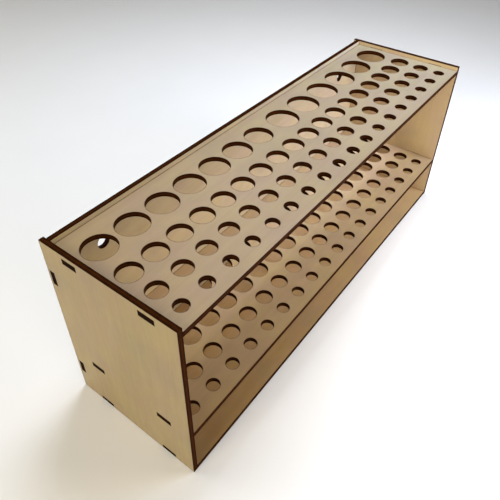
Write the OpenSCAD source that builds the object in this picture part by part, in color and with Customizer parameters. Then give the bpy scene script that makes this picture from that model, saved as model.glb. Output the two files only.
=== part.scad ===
// Free-standing paint and brush rack made of flat plywood sheets joined by tabs and slots.
// Two end panels carry a back panel, a solid bottom panel and two identical pierced shelves,
// so that a handle or tube dropped in the top shelf is also held by the shelf below it.
// +X runs along the rack, +Y from the open front to the back, +Z up.
// The origin is on the ground at the middle of the outer size.

/* [Overall size] */

// outer length of the rack, over both end panels
rack_length = 312; // [310:1:360]

// outer depth of the end panels, front to back
rack_depth = 88.5; // [86:0.5:110]

// outer height of the end panels
rack_height = 120; // [100:1:160]

// thickness of every plywood sheet
sheet = 3; // [2.5:0.1:3.2]

/* [Shelves] */

// drop from the top of the end panels to the top face of the upper shelf
upper_shelf_drop = 3; // [2:0.5:8]

// height of the top face of the lower shelf above the ground
lower_shelf_height = 37; // [30:1:50]

// distance from the rear edge of the end panels to the outer face of the back panel
back_inset = 2; // [1:0.5:4]

/* [Tool holes] */

// number of holes in each of the three front rows
columns = 18; // [6:1:18]

// spacing of the holes in the three front rows
column_pitch = 16.7; // [15.5:0.1:16.8]

// distance from the left end to the centre of the first hole of the three front rows
first_column = 13.1; // [12.5:0.1:14]

// diameter of the holes in the front row
front_row_d = 7.4; // [4:0.1:9]

// diameter of the holes in the second row from the front
second_row_d = 10.4; // [6:0.1:11.5]

// diameter of the holes in the third row from the front
third_row_d = 13; // [8:0.1:14]

// distance from the front edge to the centres of the front row
front_row_y = 10.2; // [9:0.1:11]

// distance from the front edge to the centres of the second row
second_row_y = 24.6; // [24:0.1:26]

// distance from the front edge to the centres of the third row
third_row_y = 41.7; // [41:0.1:43]

// distance from the front edge to the centres of the back row
back_row_y = 64.7; // [64:0.1:66.5]

/* [Back row holes] */

// number of the smaller holes, at the left of the back row
medium_holes = 7; // [1:1:7]

// diameter of the smaller holes of the back row
medium_d = 18; // [12:0.5:19]

// spacing of the smaller holes of the back row
medium_pitch = 21.1; // [20.5:0.1:21.1]

// distance from the left end to the centre of the first hole of the back row
first_medium = 15.9; // [15:0.1:16.5]

// number of the larger holes, at the right of the back row
large_holes = 6; // [1:1:6]

// diameter of the larger holes of the back row
large_d = 21.4; // [14:0.2:22]

// spacing of the larger holes of the back row
large_pitch = 24.9; // [24:0.1:25]

// distance from the left end to the centre of the first of the larger holes
first_large = 168.9; // [167:0.1:169.5]

/* [Hanging holes] */

// diameter of the two holes in the back panel
hanging_d = 7.4; // [4:0.2:8]

// distance from each end of the rack to the centre of its hanging hole
hanging_x = 31; // [20:1:45]

// depth of the hanging hole centres below the top edge
hanging_drop = 21.3; // [18:0.1:28]

/* [Joints] */

// width of the tabs on the shelves and the bottom panel
shelf_tab = 9.2; // [6:0.2:12]

// distance from the front edge to the middle of the front tabs
front_tab_y = 18.1; // [14:0.1:26]

// distance from the front edge to the middle of the rear tabs
rear_tab_y = 67.6; // [60:0.1:72]

// height of the tabs on the back panel
back_tab = 9; // [6:0.5:12]

// distance from the top of the rack to the middle of the upper tabs of the back panel
upper_tab_drop = 24; // [20:0.5:30]

// height of the middle of the lower tabs of the back panel
lower_tab_z = 21.5; // [15:0.5:24]

/* [Hidden] */

$fn = 64;

// the inside faces of the end panels, and the size between them
inner_x = rack_length / 2 - sheet;
front_y = -rack_depth / 2;
back_inner_y = rack_depth / 2 - back_inset - sheet;
shelf_depth = back_inner_y - front_y;

// underside heights of the two shelves
upper_shelf_z = rack_height - upper_shelf_drop - sheet;
lower_shelf_z = lower_shelf_height - sheet;

// cutters run this far past the sheet they go through, and tabs this far into their own sheet
over = 1;

// the left sides of the tabs at both ends of a sheet, whose tips are flush with the outer size
tab_starts = [-inner_x - sheet, inner_x - over];

// slots of an end panel, all through it: two per shelf, two for the back panel and,
// open at the lower edge, two for the bottom panel
module end_slots() {
    for (z = [upper_shelf_z, lower_shelf_z])
        for (y = [front_tab_y, rear_tab_y])
            translate([-over, front_y + y - shelf_tab / 2, z])
                cube([sheet + 2 * over, shelf_tab, sheet]);
    for (y = [front_tab_y, rear_tab_y])
        translate([-over, front_y + y - shelf_tab / 2, -over])
            cube([sheet + 2 * over, shelf_tab, sheet + over]);
    for (z = [rack_height - upper_tab_drop, lower_tab_z])
        translate([-over, back_inner_y, z - back_tab / 2])
            cube([sheet + 2 * over, sheet, back_tab]);
}

// an end panel with its outer face at x = 0 and its inner face at x = sheet
module end_panel() {
    difference() {
        translate([0, front_y, 0])
            cube([sheet, rack_depth, rack_height]);
        end_slots();
    }
}

// a flat panel between the ends with a pair of tabs at each end, its underside at z = 0
module tabbed_sheet() {
    translate([-inner_x, front_y, 0])
        cube([2 * inner_x, shelf_depth, sheet]);
    for (x = tab_starts)
        for (y = [front_tab_y, rear_tab_y])
            translate([x, front_y + y - shelf_tab / 2, 0])
                cube([sheet + over, shelf_tab, sheet]);
}

// one hole through a sheet that lies on z = 0
module hole(x, y, d) {
    translate([x - rack_length / 2, front_y + y, -over])
        cylinder(d = d, h = sheet + 2 * over);
}

// all the tool holes of one shelf
module tool_holes() {
    for (i = [0 : columns - 1]) {
        hole(first_column + i * column_pitch, front_row_y, front_row_d);
        hole(first_column + i * column_pitch, second_row_y, second_row_d);
        hole(first_column + i * column_pitch, third_row_y, third_row_d);
    }
    for (i = [0 : medium_holes - 1])
        hole(first_medium + i * medium_pitch, back_row_y, medium_d);
    for (i = [0 : large_holes - 1])
        hole(first_large + i * large_pitch, back_row_y, large_d);
}

module pierced_shelf() {
    difference() {
        tabbed_sheet();
        tool_holes();
    }
}

module left_end() {
    color([0.72, 0.63, 0.48])
        translate([-rack_length / 2, 0, 0])
            end_panel();
}

module right_end() {
    color([0.72, 0.63, 0.48])
        translate([rack_length / 2, 0, 0])
            mirror([1, 0, 0])
                end_panel();
}

module upper_shelf() {
    color([0.74, 0.66, 0.53])
        translate([0, 0, upper_shelf_z])
            pierced_shelf();
}

module lower_shelf() {
    color([0.70, 0.60, 0.45])
        translate([0, 0, lower_shelf_z])
            pierced_shelf();
}

module bottom_panel() {
    color([0.68, 0.57, 0.42])
        tabbed_sheet();
}

// the back panel reaches from the ground to the top, with two tabs at each end
module back_panel() {
    color([0.76, 0.68, 0.56])
        difference() {
            union() {
                translate([-inner_x, back_inner_y, 0])
                    cube([2 * inner_x, sheet, rack_height]);
                for (x = tab_starts)
                    for (z = [rack_height - upper_tab_drop, lower_tab_z])
                        translate([x, back_inner_y, z - back_tab / 2])
                            cube([sheet + over, sheet, back_tab]);
            }
            for (side = [-1, 1])
                translate([side * (rack_length / 2 - hanging_x), back_inner_y - over,
                           rack_height - hanging_drop])
                    rotate([-90, 0, 0])
                        cylinder(d = hanging_d, h = sheet + 2 * over);
        }
}

left_end();
right_end();
back_panel();
upper_shelf();
lower_shelf();
bottom_panel();
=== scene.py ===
"""Looks of the plywood paint rack.

Every sheet is rebuilt from its CAD node's own outline and holes, with laser-cut edges and faces of birch.
"""

import math

import bmesh
import bpy
from mathutils import Matrix, Vector


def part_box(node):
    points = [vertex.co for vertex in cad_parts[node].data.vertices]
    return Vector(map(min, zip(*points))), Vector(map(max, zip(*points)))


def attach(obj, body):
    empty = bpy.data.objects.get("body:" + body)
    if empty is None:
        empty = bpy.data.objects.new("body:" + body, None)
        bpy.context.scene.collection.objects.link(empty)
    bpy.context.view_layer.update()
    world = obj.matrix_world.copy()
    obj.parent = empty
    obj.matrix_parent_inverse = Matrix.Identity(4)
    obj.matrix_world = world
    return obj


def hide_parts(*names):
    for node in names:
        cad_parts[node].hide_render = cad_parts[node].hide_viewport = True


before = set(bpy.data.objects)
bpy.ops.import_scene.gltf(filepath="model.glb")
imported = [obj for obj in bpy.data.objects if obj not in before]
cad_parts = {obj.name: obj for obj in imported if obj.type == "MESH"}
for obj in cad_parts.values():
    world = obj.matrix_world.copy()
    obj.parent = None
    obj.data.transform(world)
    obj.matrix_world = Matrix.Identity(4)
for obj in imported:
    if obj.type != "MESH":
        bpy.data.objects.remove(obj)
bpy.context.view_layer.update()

MM = 0.001

# The camera: close to the rack, left of it, in front of it and above it.
CAMERA_PLACE = Vector((-243.7, -143.2, 289.0)) * MM
CAMERA_LOOK = Vector((0.6183, 0.4553, -0.6406))
CAMERA_ROLL = math.radians(0.83)
LENS = 38.16                # in millimetres, like the sensor
SENSOR = 36.0
SHIFT_X = 0.0006
SHIFT_Y = -0.0717
CLIP_START = 0.01
CLIP_END = 20.0

# The cut through each sheet.
KERF = 0.08 * MM            # wood burnt away past the drawn line
EDGE_ROUND = 0.16 * MM      # radius of the burnt corner between a face and a cut
CORNER_ANGLES = (0, math.pi / 6, math.pi / 3, math.pi / 2)
HALO = 0.7 * MM             # how far the scorching reaches along a face
HALO_STEPS = ((1.0, 0.0), (0.6, 0.30), (0.35, 0.85))    # shares of HALO, and how charred the wood is there
PLIES = 3
GLUE_GROOVE = 0.05 * MM     # depth of the groove that the cut leaves at each glue line
GLUE_WIDTH = 0.12 * MM      # from the middle of that groove to either side of it
OUTER_PLY_CHAR = 0.75       # how charred the outer plies are beside the groove
MIDDLE_PLY_CHAR = 0.6       # the same for the middle ply
FULL_CHAR = 1.0
TAB_END = 0.25 * MM         # in a long sheet, a cut this close to its left or right side ends a tab

# How the CAD meshes are read, and how the sheets' own meshes are made.
WELD = 0.001 * MM           # points closer together than this are one point
STRAIGHT = 0.01             # the sine of the smallest turn that counts as a corner
ROUND_POINTS = 16           # a hole with at least this many corners is a round one
HOLE_SEGMENTS = 56
FLAT = 0.999                # the least that a flat face's unit normal reaches across the sheet
SMOOTH_ANGLE = math.radians(35)
FACE_SLOT, CUT_SLOT, TAB_SLOT = range(3)    # the places of a sheet's three materials

# Some of Blender's socket numbers.
OBJECT_PLACE = 3            # output: texture coordinates in the object's own axes
ATTRIBUTE_VALUE = 2         # output: an attribute as a plain number
MIX_SHARE, MIX_A, MIX_B = 0, 6, 7           # inputs of a colour mix
MIX_COLOUR = 2              # output: the mixed colour

IN_MILLIMETRES = (1000, 1000, 1000)         # the scale that turns metres into millimetres

# How a sheet's grain is turned, from the object's axes to grain along X with the face in XY.
GRAIN_TURN = {
    "lying": (0, 0, 0),
    "back": (math.pi / 2, 0, 0),
    "end": (0, math.pi / 2, 0),
}
SEED_STEP = Vector((37.0, 91.0, 13.0))      # how far one seed's noise is from the next one's

# The birch's noises: how fast each one varies per millimetre, along the grain, across it and through the
# sheet, and its settings.
VENEER_NOISES = {
    "broad": ((0.008, 0.02, 0.02), {"detail": 2.0}),
    "cloud": ((0.035, 0.05, 0.05), {"detail": 3.0, "roughness": 0.6}),
    "figure": ((0.010, 0.11, 0.11), {"detail": 3.0, "roughness": 0.6, "distortion": 1.4}),
    "fibre": ((0.040, 1.6, 1.6), {"detail": 4.0, "roughness": 0.7}),
    "pores": ((0.5, 7.0, 7.0), {"detail": 1.0}),
    "soot": ((0.022, 0.022, 0.022), {"detail": 4.0, "roughness": 0.65}),
    "uneven": ((0.6, 0.6, 0.6), {"detail": 2.0}),
}
MOST_OF_NOISE = (0.3, 0.7)  # the range that a noise mostly keeps to

# The birch's tone, from its browner one at 0 to its paler one at 1: each noise's share in it, and two steps
# that together bring the middle of their sum to 0.5.
TONE_SHARES = {"broad": 0.9, "cloud": 0.9, "figure": 0.8, "fibre": 0.6}
TONE_START = -0.85
TONE_SHIFT = -0.25

# Tints and stains of the birch, and the light and shade painted into it. A tint multiplies its colour, and a
# range is the part of a noise over which something comes in.
YELLOWISH = (1.00, 1.01, 0.88)  # where the clouds are high
PINKISH = (1.01, 0.985, 1.06)   # where they are low
HUE_RANGE = (0.35, 0.65)
PALER_IN_BACK_LIGHT = (1.62, 1.77, 2.12)    # painted light: how much paler the back of a sheet is drawn, where light falls in through the holes above it
FRONT_TO_BACK_LIGHT_RUN = (-24.0, 12.0)        # where that painted light at the back comes in along Y, in millimetres
LEFT_TO_RIGHT_LIGHT_RUN = (-156.0, 156.0)     # the run along X, in millimetres, over which a long sheet is painted lighter towards its right end and darker towards its left: painted light and shade
PORE_RANGE = (0.66, 0.74)
PORE_BROWN = (0.26, 0.16, 0.085, 1)
PORE_SHARE = 0.25
SOOT_RANGE = (0.52, 0.70)
SOOT_GREY = (0.20, 0.185, 0.12, 1)
SOOT_SHARE = 0.24
SCORCH_BROWN = (0.075, 0.030, 0.010, 1)
SCORCH_CURVE = 1.4              # the power that makes the scorching fall off towards the clean wood
SCORCH_UNEVEN = (0.65, 1.0)     # the least and the most of it
SCORCH_SHARE = 0.85
FACE_ROUGHNESS = (0.62, 0.50)   # from the fibre noise's low end to its high end
FACE_SHINE = 0.35
FIBRE_HEIGHT = 0.6
PORE_HEIGHT = -0.8
FACE_BUMP = (0.4, 0.03 * MM)    # strength and distance

# The laser's cut: its most and its least burnt brown, along the sheets' edges and at the tab ends, which are
# drawn blacker as painted shade of the narrow gaps in the end panels' slots.
EDGE_BROWNS = ((0.012, 0.0030, 0.0006, 1), (0.060, 0.0165, 0.0024, 1))
# tab ends: burnt brown darkened by painted shade from the slots they sit in
TAB_BROWNS_AND_SLOT_SHADE = ((0.005, 0.0014, 0.0003, 1), (0.022, 0.0065, 0.0009, 1))
PATCH_SCALE = (0.25, 0.25, 0.25)
PATCH_SHARE = 0.9
STREAK_SCALE = (2.5, 2.5, 0.4)
STREAK_SHARE = 0.5
STREAK_START = -0.2
CHAR_SHARE = 1.2
CHAR_START = -0.75
EDGE_ROUGHNESS = (0.55, 0.75)
EDGE_SHINE = 0.01
EDGE_BUMP = (0.5, 0.05 * MM)    # strength and distance

# Each sheet's grain, its seed, its paler and its browner tone, how much painted light its back has, and how
# much paler it is painted, in red, green and blue, from its left end to its middle, and again from there to
# its right end, as painted light. The tones differ from sheet to sheet partly as the wood's own tone and
# partly as painted
# light and shade: the left end is darker than the right end, and the lower shelf and the bottom panel are
# browner, for the shade inside the rack.
SHEETS = {
    "left_end": ("end", 1, (0.350, 0.270, 0.150), (0.272, 0.196, 0.100), 0.0, None),
    "right_end": ("end", 2, (0.565, 0.438, 0.282), (0.462, 0.336, 0.194), 0.0, None),
    "back_panel": ("back", 3, (0.480, 0.408, 0.306), (0.365, 0.296, 0.203), 0.0, (0.18, 0.25, 0.45)),
    "upper_shelf": ("lying", 4, (0.374, 0.290, 0.191), (0.280, 0.206, 0.121), 0.0, (0.00, 0.10, 0.24)),
    "lower_shelf": ("lying", 5, (0.424, 0.295, 0.160), (0.317, 0.212, 0.103), 1.0, (0.10, 0.16, 0.33)),
    "bottom_panel": ("lying", 6, (0.430, 0.285, 0.138), (0.324, 0.205, 0.088), 1.0, (0.19, 0.27, 0.48)),
}

# The floor, and the lights: the place of each, the point it faces, its size, its power and its colour.
FLOOR_HALF = 4.0
FLOOR_WHITES = ((0.86, 0.86, 0.85, 1), (0.89, 0.89, 0.885, 1))
FLOOR_SPECKLE = (0.02, 0.02, 0.02)
FLOOR_ROUGHNESS = 0.9
WORLD_COLOUR = (1.0, 1.0, 1.0, 1)
WORLD_STRENGTH = 0.12
LIGHTS = {
    "left": ((-1.22, 0.0, 0.50), (0, 0, 0.05), 0.7, 9.0, (1.0, 0.93, 0.73)),
    "front": ((-0.43, -1.18, 0.39), (0, 0, 0.05), 0.7, 6.5, (1.0, 0.84, 0.67)),
    "behind": ((-0.61, 1.06, 0.50), (0, 0, 0.05), 0.7, 5.0, (1.0, 0.96, 0.88)),
    "above": ((0.15, 0.10, 0.60), (0.10, 0.0, 0.08), 0.3, 3.0, (0.85, 0.90, 1.0)),
    "right": ((0.20, -0.25, 0.25), (0.12, -0.04, 0.03), 0.2, 0.9, (0.65, 0.78, 1.0)),
    "low": ((0.12, -0.35, 0.12), (0.12, -0.04, 0.03), 0.2, 1.0, (1.0, 0.84, 0.66)),
}


def other_axes(axis):
    """The two axes along a sheet's face, in the order that makes axis their cross product."""
    return (axis + 1) % 3, (axis + 2) % 3


def thin_axis(node):
    """The axis across a sheet: 0, 1 or 2 for X, Y or Z."""
    low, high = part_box(node)
    size = high - low
    return min(range(3), key=lambda k: size[k])


def walk_rings(edges):
    """The closed rings of vertices that a set of boundary edges makes."""
    after = {}
    for e in edges:
        for v in e.verts:
            after.setdefault(v, []).append(e.other_vert(v))
    rings = []
    left = dict.fromkeys(after)
    while left:
        ring = [next(iter(left))]
        while ring[-1] in left:
            del left[ring[-1]]
            ring += [v for v in after[ring[-1]] if v in left][:1]
        rings.append(ring)
    return rings


def signed_area(ring):
    """The area inside a ring, above zero if the ring runs counter-clockwise."""
    return sum(a.cross(b) for a, b in zip(ring, ring[1:] + ring[:1])) / 2


def with_neighbours(ring):
    """Each point of a ring together with the one before it and the one behind it."""
    return zip(ring[-1:] + ring[:-1], ring, ring[1:] + ring[:1])


def corners_only(ring):
    """The ring without the points that lie on a straight run."""
    kept = []
    for before, here, behind in with_neighbours(ring):
        if abs((here - before).normalized().cross((behind - here).normalized())) > STRAIGHT:
            kept.append(here)
    return kept


def smooth_hole(ring):
    """A round hole's ring again, as a regular polygon with HOLE_SEGMENTS corners."""
    centre = sum(ring, Vector((0, 0))) / len(ring)
    radius = sum((p - centre).length for p in ring) / len(ring)
    turn = 2 * math.pi / HOLE_SEGMENTS
    angles = [k * turn for k in range(HOLE_SEGMENTS)]
    return [centre + radius * Vector((math.cos(a), math.sin(a))) for a in angles]


def cut_lines(node, axis):
    """The outline and the holes of a CAD sheet, in its own plane, with the wood on the left of each line."""
    u, v = other_axes(axis)
    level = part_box(node)[1][axis]
    bm = bmesh.new()
    bm.from_mesh(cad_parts[node].data)
    bmesh.ops.remove_doubles(bm, verts=bm.verts, dist=WELD)
    face = {f for f in bm.faces if all(abs(p.co[axis] - level) < WELD for p in f.verts)}
    border = [e for e in bm.edges if sum(f in face for f in e.link_faces) == 1]
    rings = [[Vector((p.co[u], p.co[v])) for p in ring] for ring in walk_rings(border)]
    bm.free()
    rings = [corners_only(ring) for ring in rings]
    rings.sort(key=lambda ring: -abs(signed_area(ring)))
    lines = []
    for k, ring in enumerate(rings):
        if len(ring) >= ROUND_POINTS and k > 0:
            ring = smooth_hole(ring)
        counter_clockwise = signed_area(ring) > 0
        lines.append(ring if counter_clockwise == (k == 0) else ring[::-1])
    return lines


def inset(ring, distance):
    """The ring moved into the wood on its left by a distance, with its corners kept square."""
    moved = []
    for before, here, behind in with_neighbours(ring):
        arriving = (here - before).normalized()
        leaving = (behind - here).normalized()
        side_a = Vector((-arriving.y, arriving.x))
        side_b = Vector((-leaving.y, leaving.x))
        moved.append(here + (side_a + side_b) * distance / (1 + side_a.dot(side_b)))
    return moved


def cut_profile(thickness):
    """Steps down a cut from one face to the other: distance into the wood, depth, and how charred it is."""
    halo = [(HALO * share, 0, char) for share, char in HALO_STEPS]
    corner = [(EDGE_ROUND * (1 - math.sin(a)), EDGE_ROUND * (1 - math.cos(a)), FULL_CHAR)
              for a in CORNER_ANGLES]
    glue = thickness / PLIES
    groove = [
        (0, glue - GLUE_WIDTH, OUTER_PLY_CHAR),
        (GLUE_GROOVE, glue, FULL_CHAR),
        (0, glue + GLUE_WIDTH, MIDDLE_PLY_CHAR),
    ]
    half = halo + corner + groove
    far_half = [(d, thickness - depth, char) for d, depth, char in reversed(half)]
    return half + far_half


def sweep_cut(bm, charred, axis, top, line, profile):
    """Makes the cut along one line, and returns the edges where it starts on either side of the sheet."""
    u, v = other_axes(axis)
    rings = []
    for distance, depth, char in profile:
        ring = []
        for p in inset(line, KERF + distance):
            place = Vector((0, 0, 0))
            place[u], place[v], place[axis] = p.x, p.y, top - depth
            vert = bm.verts.new(place)
            vert[charred] = char
            ring.append(vert)
        rings.append(ring)
    for one, two in zip(rings, rings[1:]):
        for k in range(len(one)):
            bm.faces.new((one[k - 1], one[k], two[k], two[k - 1]))
    first, last = rings[0], rings[-1]
    return [[bm.edges.get((ring[k - 1], ring[k])) for k in range(len(ring))] for ring in (first, last)]


def mark_faces(bm, axis, low, high):
    """Gives every face its material, and keeps the flat ones flat and the true corners sharp."""
    for f in bm.faces:
        flat = abs(f.normal[axis]) > FLAT
        reach = min(abs(f.calc_center_median().x - side.x) for side in (low, high))
        at_end = axis != 0 and reach < TAB_END
        f.material_index = FACE_SLOT if flat else TAB_SLOT if at_end else CUT_SLOT
        f.smooth = not flat
    for e in bm.edges:
        e.smooth = e.calc_face_angle(0) < SMOOTH_ANGLE


def cut_sheet(node):
    """A sheet that stands for its CAD node: rounded, grooved and scorched along every cut."""
    axis = thin_axis(node)
    low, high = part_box(node)
    profile = cut_profile(high[axis] - low[axis])
    bm = bmesh.new()
    charred = bm.verts.layers.float.new("char")
    starts = [sweep_cut(bm, charred, axis, high[axis], line, profile) for line in cut_lines(node, axis)]
    for side in zip(*starts):
        bmesh.ops.triangle_fill(bm, use_beauty=True, use_dissolve=False, edges=sum(side, []))
    bmesh.ops.recalc_face_normals(bm, faces=bm.faces)
    mark_faces(bm, axis, low, high)
    mesh = bpy.data.meshes.new(node + "_sheet")
    bm.to_mesh(mesh)
    bm.free()
    piece = bpy.data.objects.new(node + "_sheet", mesh)
    bpy.context.scene.collection.objects.link(piece)
    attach(piece, "root")
    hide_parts(node)
    return piece


class Shader:
    """A material's node tree, built by name."""

    def __init__(self, name):
        self.material = bpy.data.materials.new(name)
        self.material.use_nodes = True
        self.tree = self.material.node_tree
        self.bsdf = self.tree.nodes["Principled BSDF"]

    def feed(self, socket, value):
        """Links a socket to a node's output, or sets it to a plain value."""
        if isinstance(value, bpy.types.NodeSocket):
            self.tree.links.new(value, socket)
        else:
            socket.default_value = value

    def node(self, kind, inputs=(), output=0, **settings):
        """A new node's output, with its inputs fed and its settings set."""
        made = self.tree.nodes.new("ShaderNode" + kind)
        for key, value in settings.items():
            setattr(made, key, value)
        for key, value in dict(inputs).items():
            self.feed(made.inputs[key], value)
        return made.outputs[output]

    def math(self, operation, a, b=0.0, c=0.0, clamp=False):
        return self.node("Math", {0: a, 1: b, 2: c}, operation=operation, use_clamp=clamp)

    def vector_math(self, operation, a, b, c=(0.0, 0.0, 0.0)):
        return self.node("VectorMath", {0: a, 1: b, 2: c}, operation=operation)

    def mix(self, share, a, b):
        """Colour a, with a share of colour b in it."""
        return self.node("Mix", {MIX_SHARE: share, MIX_A: a, MIX_B: b}, output=MIX_COLOUR, data_type="RGBA")

    def mapped(self, scale, offset=(0, 0, 0), turn=(0, 0, 0)):
        """Object coordinates in millimetres, turned, then scaled, then moved."""
        place = self.node("TexCoord", output=OBJECT_PLACE)
        turned = self.node("Mapping", {"Vector": place, "Rotation": turn, "Scale": IN_MILLIMETRES})
        return self.node("Mapping", {"Vector": turned, "Scale": scale, "Location": offset})

    def coordinate(self, axis):
        """The object coordinate along one axis, in millimetres."""
        return self.node("SeparateXYZ", {0: self.mapped((1, 1, 1))}, output=axis)

    def charring(self):
        """How charred the sheet's mesh is, from 0 to 1."""
        return self.node("Attribute", output=ATTRIBUTE_VALUE,
                         attribute_name="char", attribute_type="GEOMETRY")

    def noise(self, vector, detail=2.0, roughness=0.5, distortion=0.0):
        return self.node("TexNoise", {"Vector": vector, "Scale": 1.0, "Detail": detail,
                                      "Roughness": roughness, "Distortion": distortion})

    def remap(self, value, low, high, new_low=0.0, new_high=1.0):
        return self.node("MapRange", {"Value": value, "From Min": low, "From Max": high,
                                      "To Min": new_low, "To Max": new_high})

    def surface(self, colour, roughness, shine, bump, height):
        """Feeds the material's surface. The bump is its strength and its distance."""
        strength, distance = bump
        self.feed(self.bsdf.inputs["Base Color"], colour)
        self.feed(self.bsdf.inputs["Roughness"], roughness)
        self.feed(self.bsdf.inputs["Specular IOR Level"], shine)
        relief = self.node("Bump", {"Strength": strength, "Distance": distance, "Height": height})
        self.feed(self.bsdf.inputs["Normal"], relief)


def tinted(colour, tint):
    return [c * t for c, t in zip(colour, tint)] + [1.0]


def veneer_noises(s, laid, seed):
    """One sheet's own noises, by name, laid along its grain."""
    return {name: s.noise(s.mapped(scale, SEED_STEP * seed, GRAIN_TURN[laid]), **settings)
            for name, (scale, settings) in VENEER_NOISES.items()}


def clean_wood(s, noises, pale, tan):
    """The birch's figure, from pale to tan, with yellowish and pinkish clouds."""
    tone = TONE_START
    for name, share in TONE_SHARES.items():
        tone = s.math("MULTIPLY_ADD", noises[name], share, tone)
    tone = s.math("ADD", tone, TONE_SHIFT, clamp=True)
    yellow = s.mix(tone, tinted(tan, YELLOWISH), tinted(pale, YELLOWISH))
    pink = s.mix(tone, tinted(tan, PINKISH), tinted(pale, PINKISH))
    return s.mix(s.remap(noises["cloud"], *HUE_RANGE), pink, yellow)


def paint_light_along_x(s, wood, painted_light_tint):
    """The wood painted paler along X: painted light towards the right end, painted shade towards the left.
    """
    along = s.remap(s.coordinate(0), *LEFT_TO_RIGHT_LIGHT_RUN, -1.0, 1.0)
    tint = s.vector_math("MULTIPLY_ADD", along, painted_light_tint, (1.0, 1.0, 1.0))
    return s.vector_math("MULTIPLY", wood, tint)


def paint_light_at_back(s, wood, back_light_share):
    """The wood painted paler towards the back: painted light, where light falls in through the holes above
    it.
    """
    back = s.remap(s.coordinate(1), *FRONT_TO_BACK_LIGHT_RUN, 0.0, back_light_share)
    return s.mix(back, wood, s.vector_math("MULTIPLY", wood, PALER_IN_BACK_LIGHT))


def birch(name, laid, seed, pale, tan, back_light_share, painted_light_tint):
    """Birch veneer: a cloudy figure, fine fibres along the grain, small pores, soot and scorched rims."""
    s = Shader(name)
    noises = veneer_noises(s, laid, seed)
    fibre = noises["fibre"]
    pores = s.remap(noises["pores"], *PORE_RANGE)
    soot = s.remap(noises["soot"], *SOOT_RANGE)
    wood = clean_wood(s, noises, pale, tan)
    # painted light and shade along the sheet, brighter towards its right end
    if painted_light_tint:
        wood = paint_light_along_x(s, wood, painted_light_tint)
    # painted light at the back of the sheet
    if back_light_share:
        wood = paint_light_at_back(s, wood, back_light_share)
    wood = s.mix(s.math("MULTIPLY", pores, PORE_SHARE), wood, PORE_BROWN)
    wood = s.mix(s.math("MULTIPLY", soot, SOOT_SHARE), wood, SOOT_GREY)
    uneven = s.remap(noises["uneven"], *MOST_OF_NOISE, *SCORCH_UNEVEN)
    scorch = s.math("MULTIPLY", s.math("POWER", s.charring(), SCORCH_CURVE), uneven, clamp=True)
    wood = s.mix(s.math("MULTIPLY", scorch, SCORCH_SHARE), wood, SCORCH_BROWN)
    roughness = s.remap(fibre, *MOST_OF_NOISE, *FACE_ROUGHNESS)
    height = s.math("MULTIPLY_ADD", fibre, FIBRE_HEIGHT, s.math("MULTIPLY", pores, PORE_HEIGHT))
    s.surface(wood, roughness, FACE_SHINE, FACE_BUMP, height)
    return s.material


def charred_edge(name, burnt, scorched):
    """The laser's cut: dark brown char, blackest at the corners and the glue lines, browner in the plies."""
    s = Shader(name)
    patch = s.noise(s.mapped(PATCH_SCALE), detail=3.0, roughness=0.6)
    streak = s.noise(s.mapped(STREAK_SCALE), detail=2.0)
    tone = s.math("MULTIPLY_ADD", streak, STREAK_SHARE, STREAK_START)
    tone = s.math("MULTIPLY_ADD", patch, PATCH_SHARE, tone)
    burn = s.math("MULTIPLY_ADD", s.charring(), CHAR_SHARE, CHAR_START)
    tone = s.math("SUBTRACT", tone, burn, clamp=True)
    brown = s.mix(tone, burnt, scorched)
    roughness = s.remap(patch, *MOST_OF_NOISE, *EDGE_ROUGHNESS)
    s.surface(brown, roughness, EDGE_SHINE, EDGE_BUMP, streak)
    return s.material


def build_sheets():
    edge = charred_edge("charred_edge", *EDGE_BROWNS)
    # the tab ends' char, with the slots' shade painted in
    tab_end_in_slot_shade = charred_edge("charred_tab_end", *TAB_BROWNS_AND_SLOT_SHADE)
    for node, looks in SHEETS.items():
        piece = cut_sheet(node)
        for material in (birch("birch_" + node, *looks), edge, tab_end_in_slot_shade):     # FACE_SLOT, CUT_SLOT, TAB_SLOT
            piece.data.materials.append(material)


def make_camera():
    data = bpy.data.cameras.new("camera")
    data.lens = LENS
    data.sensor_width = SENSOR
    data.shift_x = SHIFT_X
    data.shift_y = SHIFT_Y
    data.clip_start = CLIP_START
    data.clip_end = CLIP_END
    camera = bpy.data.objects.new("camera", data)
    aim = CAMERA_LOOK.to_track_quat("-Z", "Y").to_matrix().to_4x4()
    camera.matrix_world = Matrix.Translation(CAMERA_PLACE) @ aim @ Matrix.Rotation(CAMERA_ROLL, 4, "Z")
    bpy.context.scene.collection.objects.link(camera)
    bpy.context.scene.camera = camera


def make_floor():
    """A wide matt white floor under the rack, staging only."""
    h = FLOOR_HALF
    mesh = bpy.data.meshes.new("floor")
    mesh.from_pydata([(-h, -h, 0), (h, -h, 0), (h, h, 0), (-h, h, 0)], [], [(0, 1, 2, 3)])
    floor = bpy.data.objects.new("floor", mesh)
    bpy.context.scene.collection.objects.link(floor)
    s = Shader("floor")
    speckle = s.noise(s.mapped(FLOOR_SPECKLE), detail=2.0)
    s.feed(s.bsdf.inputs["Base Color"], s.mix(speckle, *FLOOR_WHITES))
    s.feed(s.bsdf.inputs["Roughness"], FLOOR_ROUGHNESS)
    mesh.materials.append(s.material)


def area_light(name, place, target, size, power, colour):
    """A round light that the camera doesn't see."""
    data = bpy.data.lights.new(name, "AREA")
    data.shape = "DISK"
    data.size = size
    data.energy = power
    data.color = colour
    light = bpy.data.objects.new(name, data)
    light.visible_camera = False
    light.location = place
    light.rotation_euler = (Vector(target) - Vector(place)).to_track_quat("-Z", "Y").to_euler()
    bpy.context.scene.collection.objects.link(light)


def make_light():
    world = bpy.data.worlds.new("studio")
    world.use_nodes = True
    background = world.node_tree.nodes["Background"]
    background.inputs["Color"].default_value = WORLD_COLOUR
    background.inputs["Strength"].default_value = WORLD_STRENGTH
    bpy.context.scene.world = world
    for name, settings in LIGHTS.items():
        area_light(name, *settings)
    bpy.context.scene.view_settings.view_transform = "Standard"


make_camera()
build_sheets()
make_floor()
make_light()
